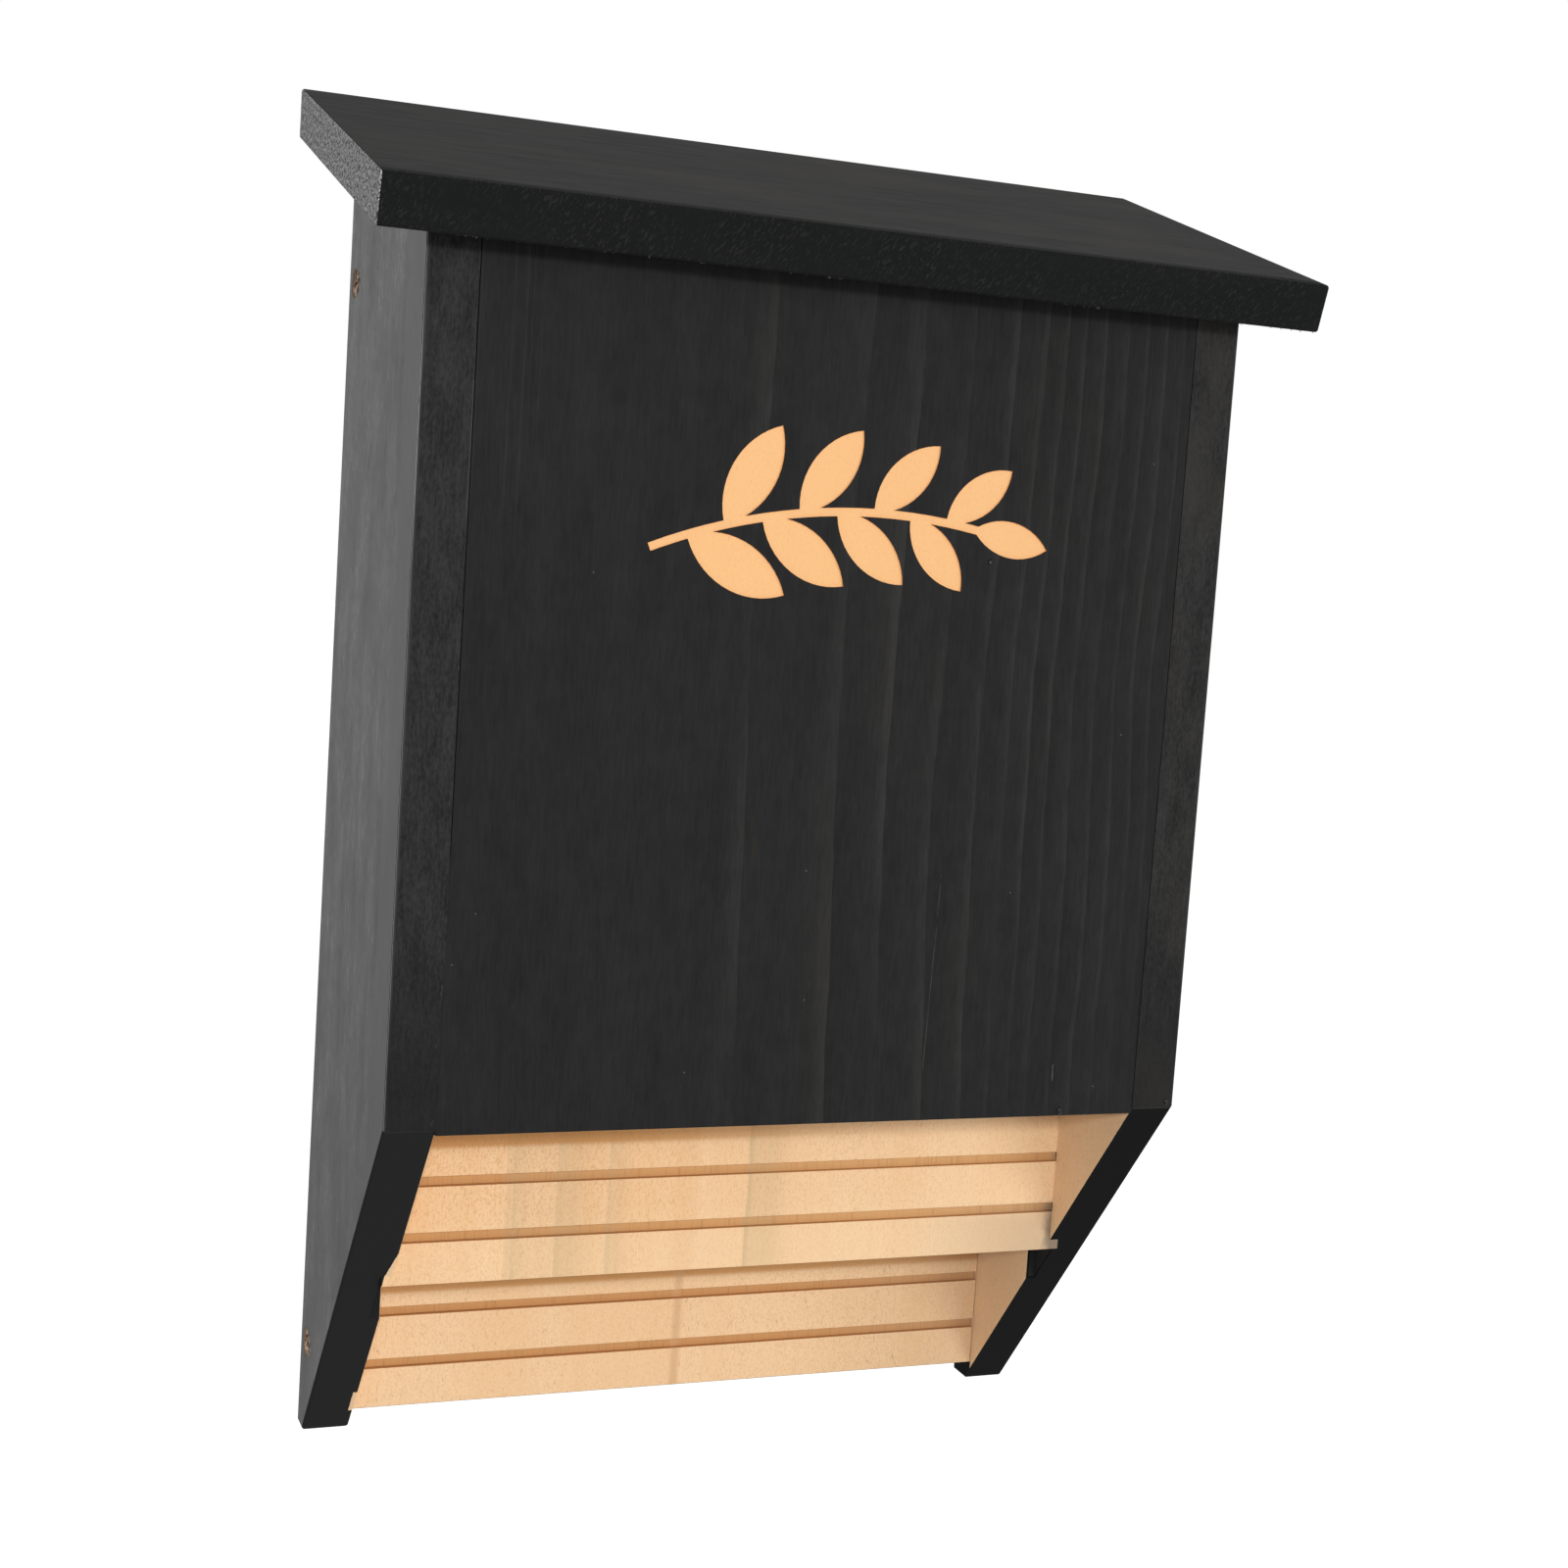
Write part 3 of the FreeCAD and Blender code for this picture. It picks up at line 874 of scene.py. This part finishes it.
def brushed_over(finish, colour):
    """This wood, darker brown towards the lower right, with the stain that the brush left: a black
    corner, and the left end beyond the brush's line."""
    smeared = finish.grain((420, 420, 200), detail=3, shift=139) - 0.5
    below = 1 - finish.smooth(finish.z + smeared * (6 * MM), *smear_below)
    to_the_right = finish.smooth(finish.x, 50 * MM, 124 * MM)
    colour = finish.blend(to_the_right * below * 0.50, colour, right_end_brown)
    corner = finish.smooth(finish.x + smeared * (5 * MM), inner_x - 4 * MM, inner_x) * below
    colour = finish.blend(corner * 0.72, colour, smear_black)
    off = finish.x * -1 - inner_x
    return finish.blend((off > 0.3 * MM) * (1 - short_of_brush(finish, off)), colour, ink)


def partition_finish():
    finish = Finish("partition_wood")
    wood, grain = raw_wood(finish, 120)
    wood = partition_board(finish, wood)
    colour = with_kerfs(finish, wood, 120, partition_y, partition_kerfs[0], kerf_tan)
    # The painted chamber shade is weaker towards the right.
    chamber_shade_share = 0.66 - finish.smooth(finish.x, -60 * MM, 80 * MM) * 0.66
    colour = with_chamber_shade(finish, with_streaks(finish, colour), partition_shaded_above, chamber_shade_share)
    finish.set(Base_Color=brushed_over(finish, colour), Roughness=0.74, Specular_IOR_Level=stain_gloss)
    finish.relief(grain, 0.08 * MM)
    return finish


# %% Finish of the back panel
glue_brown = (0.620, 0.360, 0.185, 1)
glue_line_x = -1.5 * MM
back_shaded_above = partition_low.z - 20.8 * MM


def back_finish():
    finish = Finish("back_wood")
    wood, grain = raw_wood(finish, 160)
    paler = 0.30 - finish.smooth(finish.x, 0.0, 80 * MM) * 0.16
    wood = finish.blend(paler, wood, pale_wood)
    colour = with_kerfs(finish, wood, 160, back_y, back_kerfs[0], kerf_brown)
    # Painted shade: browner above the line where the partition starts to shade the back panel.
    colour = with_chamber_shade(finish, colour, back_shaded_above, 0.70)
    glue_line = 1 - finish.smooth(abs(finish.x - glue_line_x), 0.4 * MM, 2.6 * MM)
    colour = finish.blend(glue_line * 0.62, colour, glue_brown)
    darker_end = finish.smooth(finish.x, 30 * MM, 116 * MM)
    colour = finish.blend(darker_end * 0.30, colour, right_end_brown)
    fibres, patches = coat(finish, 2, 170)
    stain = finish.blend(fibres * 0.4 + patches * 0.3, ink, soot)
    bare = (finish.y < -0.3 * MM) * (finish.z > back_foot_z + 0.1 * MM)
    dress(finish, (stain, 0.64, fibres * 0.5), (colour, 0.74, grain), 1 - bare)
    return finish


put_on(partition_finish(), "partition")
put_on(back_finish(), "back_panel")


# %% [markdown]
# Screws and pin nails
#
# The screws have the copper-brown finish of cheap wood screws. A polished metal shows its
# surroundings, so in a white studio only a dark colour looks dark, and grimy patches with small pale
# spots give the glints: the glints are painted, more of them on the lower half of each head. The pin
# nails are bright steel wire and lie buried in the wood.

# %% Finish of the metal
def lower_half_glints(finish):
    """1 on the lower half of each screw head, where more glints are painted."""
    mask = 0
    for middle in screw_middles:
        depth = middle.z - finish.z
        mask = finish.smooth(depth, 0.2 * MM, 1.4 * MM) * (depth < 6 * MM) + mask
    return mask


def metal_finish(name, bright, dull, glint_colour, rough, edge_tint):
    """A metal with grimy patches and small pale spots that are painted glints, more of them on the
    lower half of each screw head. The edge tint is the colour of what it mirrors at a grazing angle."""
    finish = Finish(name)
    grime = finish.grain((700, 700, 700), detail=3, shift=190)
    scratches = finish.grain((3000, 2200, 2600), shift=195)
    glint_spots = finish.grain((560, 560, 560), detail=1, shift=198)
    lower = lower_half_glints(finish)
    # Painted glints: pale spots, more of them on the lower half of each screw head.
    colour = finish.blend(finish.smooth(grime - lower * 0.10, 0.34, 0.60), bright, dull)
    colour = finish.blend(finish.smooth(glint_spots + lower * 0.12, 0.58, 0.66), colour, glint_colour)
    finish.set(Base_Color=colour, Roughness=rough + scratches * 0.2)
    finish.set(Metallic=1.0, Specular_Tint=edge_tint)
    finish.relief(scratches, 0.02 * MM)
    return finish


copper = (0.230, 0.155, 0.115, 1)
tarnish = (0.055, 0.037, 0.028, 1)
glint_copper = (0.720, 0.560, 0.460, 1)
steel = (0.550, 0.550, 0.560, 1)
dull_steel = (0.320, 0.310, 0.300, 1)
copper_mirror = (0.50, 0.42, 0.36, 1)
steel_mirror = (1, 1, 1, 1)
screw_finish = metal_finish("screw_metal", copper, tarnish, glint_copper, 0.22, copper_mirror)
nail_finish = metal_finish("nail_metal", steel, dull_steel, steel, 0.30, steel_mirror)
put_on(screw_finish, *[name for name in nodes if "screw" in name])
put_on(nail_finish, *[name for name in nodes if "brad" in name])


# %% [markdown]
# Hardened drops of stain
#
# Three drops of stain dried on the front: one at the panel's lower arris, one at the kink of the
# right side, and one higher up on the panel. A drop is a ball cut in half against the board,
# flattened, and pulled down at its foot. It is modelled by hand in edit mode: a ball is cut with
# bisect, resized, and its lower part moved.

# %% Model the drops
drop_flatness = 0.7
drop_stretch = 1.15
drop_sag = Vector((0, -0.10, -0.25))
drop_sags_below = 0.3


def deselect():
    bpy.ops.object.select_all(action="DESELECT")


def edit_all():
    """Goes into edit mode with the whole mesh selected."""
    bpy.ops.object.mode_set(mode="EDIT")
    bpy.ops.mesh.select_all(action="SELECT")


def pick(obj, wanted):
    """Selects the corners of the mesh in edit mode whose place passes a test."""
    mesh = bmesh.from_edit_mesh(obj.data)
    for vertex in mesh.verts:
        vertex.select = wanted(vertex.co)
    mesh.select_flush_mode()
    bmesh.update_edit_mesh(obj.data)


def stain_drop(name, place, radius, material):
    deselect()
    bpy.ops.mesh.primitive_uv_sphere_add(segments=16, ring_count=10, radius=radius, location=place)
    drop = bpy.context.object
    drop.name = name
    bpy.ops.object.transform_apply(location=True, rotation=True, scale=True)
    edit_all()
    bpy.ops.mesh.bisect(plane_co=place, plane_no=(0, 1, 0), use_fill=True, clear_outer=True)
    bpy.ops.mesh.select_all(action="SELECT")
    bpy.ops.transform.resize(value=(1.0, drop_flatness, drop_stretch), center_override=place)
    pick(drop, lambda corner: corner.z < place.z - drop_sags_below * radius)
    bpy.ops.transform.translate(value=drop_sag * radius)
    bpy.ops.object.mode_set(mode="OBJECT")
    rounded = drop.modifiers.new("rounded", "SUBSURF")
    rounded.levels = rounded.render_levels = 1
    bpy.ops.object.modifier_apply(modifier=rounded.name)
    bpy.ops.object.shade_smooth()
    drop.data.materials.append(material)
    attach(drop, "root")
    print(name, "has", len(drop.data.polygons), "faces")


drop_finish = Finish("drop_stain")
dried = drop_finish.grain((900, 900, 900), shift=210)
drop_finish.set(Base_Color=drop_finish.blend(dried, charcoal, ink), Roughness=0.16 + dried * 0.1)
drop_finish.set(Specular_IOR_Level=2 * stain_gloss)
drops = {
    "front_stain_drop": (89.4 * MM, front_foot_z + 1.9 * MM, 1.1 * MM),
    "side_stain_drop": (129.2 * MM, kink_z + 1.8 * MM, 0.9 * MM),
    "panel_stain_drop": (49.6 * MM, foot_z + 306.5 * MM, 0.8 * MM),
}
for name, (drop_x, drop_z, radius) in drops.items():
    stain_drop(name, Vector((drop_x, front_y, drop_z)), radius, drop_finish.material)


# %% [markdown]
# Stain in the seam
#
# At the foot of the left seam the stain ran into the gap and dried level with the boards, so the
# dark line between the front panel and the side fades out there. The fill is a narrow grid of faces
# as long as that stretch. It is pushed into the gap, its surface is roughened a little, and its top
# end sinks in, where the stain ran out, a little from one height and more from the next.

# %% Model the stain in the seam
panel_left_x = min(corner.x for corner in corners("front_panel"))
seam_middle_x = (panel_left_x - inner_x) / 2
seam_width = panel_left_x + inner_x
fill_foot_z = front_foot_z + 1.0 * MM
fill_length = 88 * MM
fill_depth = 1.2 * MM
fill_sunk = 0.06 * MM
fill_roughness = 0.03 * MM
fill_columns, fill_rows = 2, 44
fill_top_z = fill_foot_z + fill_length
sinking_end = {14 * MM: 0.25 * MM, 5 * MM: 0.50 * MM}

deselect()
middle_of_fill = Vector((seam_middle_x, front_y + fill_sunk, fill_foot_z + fill_length / 2))
upright_turn = (math.radians(90), 0, 0)
bpy.ops.mesh.primitive_grid_add(
    x_subdivisions=fill_columns, y_subdivisions=fill_rows,
    size=1, location=middle_of_fill, rotation=upright_turn,
)
seam_fill = bpy.context.object
seam_fill.name = "seam_stain"
bpy.ops.object.transform_apply(location=True, rotation=True, scale=True)
edit_all()
bpy.ops.transform.resize(value=(seam_width, 1, fill_length), center_override=middle_of_fill)
bpy.ops.transform.vertex_random(offset=fill_roughness, seed=5)
bpy.ops.mesh.extrude_region_move(TRANSFORM_OT_translate={"value": (0, fill_depth, 0)})
for from_top, further_in in sinking_end.items():
    pick(seam_fill, lambda corner: corner.z > fill_top_z - from_top)
    bpy.ops.transform.translate(value=(0, further_in, 0))
bpy.ops.mesh.select_all(action="SELECT")
bpy.ops.mesh.normals_make_consistent(inside=False)
bpy.ops.object.mode_set(mode="OBJECT")
seam_fill.data.materials.append(side_stain.material)
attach(seam_fill, "root")
print("seam fill:", len(seam_fill.data.polygons), "faces,", round(seam_width / MM, 2), "mm wide")


# %% [markdown]
# Torn fibres
#
# The saw left a row of tiny torn fibres along the lower front arris of the roof, some of them paler
# than the stain. Each is a thin five-sided cone with a bent tip. One is modelled, and the rest are
# copies of its mesh, turned, scaled and set along the arris with a seeded generator, then joined
# into one piece.

# %% Model the torn fibres
roof_arris = min(corners("roof"), key=lambda corner: corner.z)
fibre_count = 90
fibre_length = 0.8 * MM
fibre_root = 0.22 * MM
fibre_tip = 0.04 * MM
fibre_bend = (0.10 * MM, 0.06 * MM, 0)
fibre_bends_above = 0.1 * fibre_length
fibre_stands_off = 0.05 * MM
fibre_hangs_by = 0.15 * fibre_length
fibre_sizes = (0.35, 1.0)
fibre_leans = (2.4, 3.9)
fibre_twists = (0, 6.28)
bare_fibre = (0.150, 0.136, 0.116, 1)


def one_fibre():
    deselect()
    bpy.ops.mesh.primitive_cone_add(vertices=5, radius1=fibre_root, radius2=fibre_tip, depth=fibre_length)
    fibre = bpy.context.object
    edit_all()
    bpy.ops.mesh.subdivide(number_cuts=2)
    pick(fibre, lambda corner: corner.z > fibre_bends_above)
    bpy.ops.transform.translate(value=fibre_bend)
    bpy.ops.object.mode_set(mode="OBJECT")
    return fibre


def row_of_fibres():
    chance = random.Random(11)
    model = one_fibre()
    copies = []
    for _ in range(fibre_count):
        copy = model.copy()
        copy.data = model.data.copy()
        bpy.context.scene.collection.objects.link(copy)
        along = chance.uniform(roof_low.x + 1 * MM, roof_high.x - 1 * MM)
        size = chance.uniform(*fibre_sizes)
        root = Vector((along, roof_arris.y - fibre_stands_off, roof_arris.z - fibre_hangs_by * size))
        lean = Matrix.Rotation(chance.uniform(*fibre_leans), 4, "Y")
        twist = Matrix.Rotation(chance.uniform(*fibre_twists), 4, "Z")
        copy.data.transform(Matrix.Translation(root) @ lean @ twist @ Matrix.Scale(size, 4))
        copies.append(copy)
    bpy.data.objects.remove(model)
    deselect()
    for copy in copies:
        copy.select_set(True)
    bpy.context.view_layer.objects.active = copies[0]
    bpy.ops.object.join()
    return bpy.context.object


torn_fibres = row_of_fibres()
torn_fibres.name = "roof_torn_fibres"
fibre_finish = Finish("torn_fibre")
tips = fibre_finish.grain((340, 340, 340), detail=1, shift=220)
bare_tips = fibre_finish.blend(fibre_finish.smooth(tips, 0.50, 0.62), soot, bare_fibre)
fibre_finish.set(Base_Color=bare_tips, Roughness=0.8, Specular_IOR_Level=stain_gloss)
torn_fibres.data.materials.append(fibre_finish.material)
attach(torn_fibres, "root")
print("torn fibres:", fibre_count, "with", len(torn_fibres.data.polygons), "faces")


# %% [markdown]
# Stage and light
#
# A catalogue picture shows the box against plain white. The white is the colour of the world as the
# camera sees it, and never more light on the object. The object itself is lit by a soft grey
# surround and two lamps: a small one just over the camera, which draws the thin shadows under the
# boards, and a broad one on the right. Black stain seen at a grazing angle mirrors the white
# surroundings, and that is what turns the left side grey.

# %% Floor, world and lamps
def shown_white(tree, seen_otherwise):
    """White to the camera, to reflections and through glass, and the given shader to all other light."""
    path = tree.nodes.new("ShaderNodeLightPath")
    white = tree.nodes.new("ShaderNodeEmission")
    white.inputs["Strength"].default_value = 1.0
    share = path.outputs["Is Camera Ray"]
    for kind in ("Is Glossy Ray", "Is Transmission Ray"):
        either = tree.nodes.new("ShaderNodeMath")
        either.operation = "MAXIMUM"
        tree.links.new(share, either.inputs[0])
        tree.links.new(path.outputs[kind], either.inputs[1])
        share = either.outputs[0]
    choice = tree.nodes.new("ShaderNodeMixShader")
    tree.links.new(share, choice.inputs[0])
    tree.links.new(seen_otherwise, choice.inputs[1])
    tree.links.new(white.outputs[0], choice.inputs[2])
    return choice, white


floor_size = 30
floor_drop = 0.30
floor_glow = 0.75
surround_strength = 0.38
paper_white = (0.80, 0.80, 0.80, 1)

deselect()
bpy.ops.mesh.primitive_plane_add(size=floor_size, location=(0, 0, foot_z - floor_drop))
floor = bpy.context.object
floor.name = "floor"
paper = bpy.data.materials.new("floor_paper")
paper.use_nodes = True
pale = paper.node_tree.nodes["Principled BSDF"]
pale.inputs["Base Color"].default_value = paper_white
pale.inputs["Roughness"].default_value = 0.9
choice, glow = shown_white(paper.node_tree, pale.outputs[0])
glow.inputs["Strength"].default_value = floor_glow
both = paper.node_tree.nodes.new("ShaderNodeAddShader")
link = paper.node_tree.links.new
link(pale.outputs[0], both.inputs[0])
link(glow.outputs[0], both.inputs[1])
link(both.outputs[0], choice.inputs[2])
link(choice.outputs[0], paper.node_tree.nodes["Material Output"].inputs["Surface"])
floor.data.materials.append(paper)

world = bpy.data.worlds.new("studio")
bpy.context.scene.world = world
world.use_nodes = True
surround = world.node_tree.nodes["Background"]
surround.inputs["Color"].default_value = (1, 1, 1, 1)
surround.inputs["Strength"].default_value = surround_strength
choice = shown_white(world.node_tree, surround.outputs[0])[0]
world.node_tree.links.new(choice.outputs[0], world.node_tree.nodes["World Output"].inputs["Surface"])


def lamp(name, place, target, width, height, brightness):
    """Rectangular lamp that lights a surface facing it at the target as this share of full white."""
    data = bpy.data.lights.new(name, "AREA")
    data.shape = "RECTANGLE"
    data.size = width
    data.size_y = height
    distance = (Vector(target) - Vector(place)).length
    data.energy = brightness * math.pi ** 2 * distance ** 2
    obj = bpy.data.objects.new(name, data)
    bpy.context.scene.collection.objects.link(obj)
    aim = (Vector(target) - Vector(place)).to_track_quat("-Z", "Y")
    obj.matrix_world = Matrix.Translation(place) @ aim.to_matrix().to_4x4()
    print(name, "is", round(distance, 2), "metres away")


middle = Vector((0, front_y / 2, (foot_z + roof_high.z) / 2))
lamp("key_lamp", (-0.33, -1.16, 0.12), middle, width=0.12, height=0.10, brightness=0.44)
lamp("fill_lamp", (1.1, -2.0, 0.15), middle, width=1.2, height=1.0, brightness=0.32)


# %% [markdown]
# The last lines
#
# The view transform is set to Standard, so that a colour renders as it is written.

# %% Set the view transform
bpy.context.scene.view_settings.view_transform = "Standard"
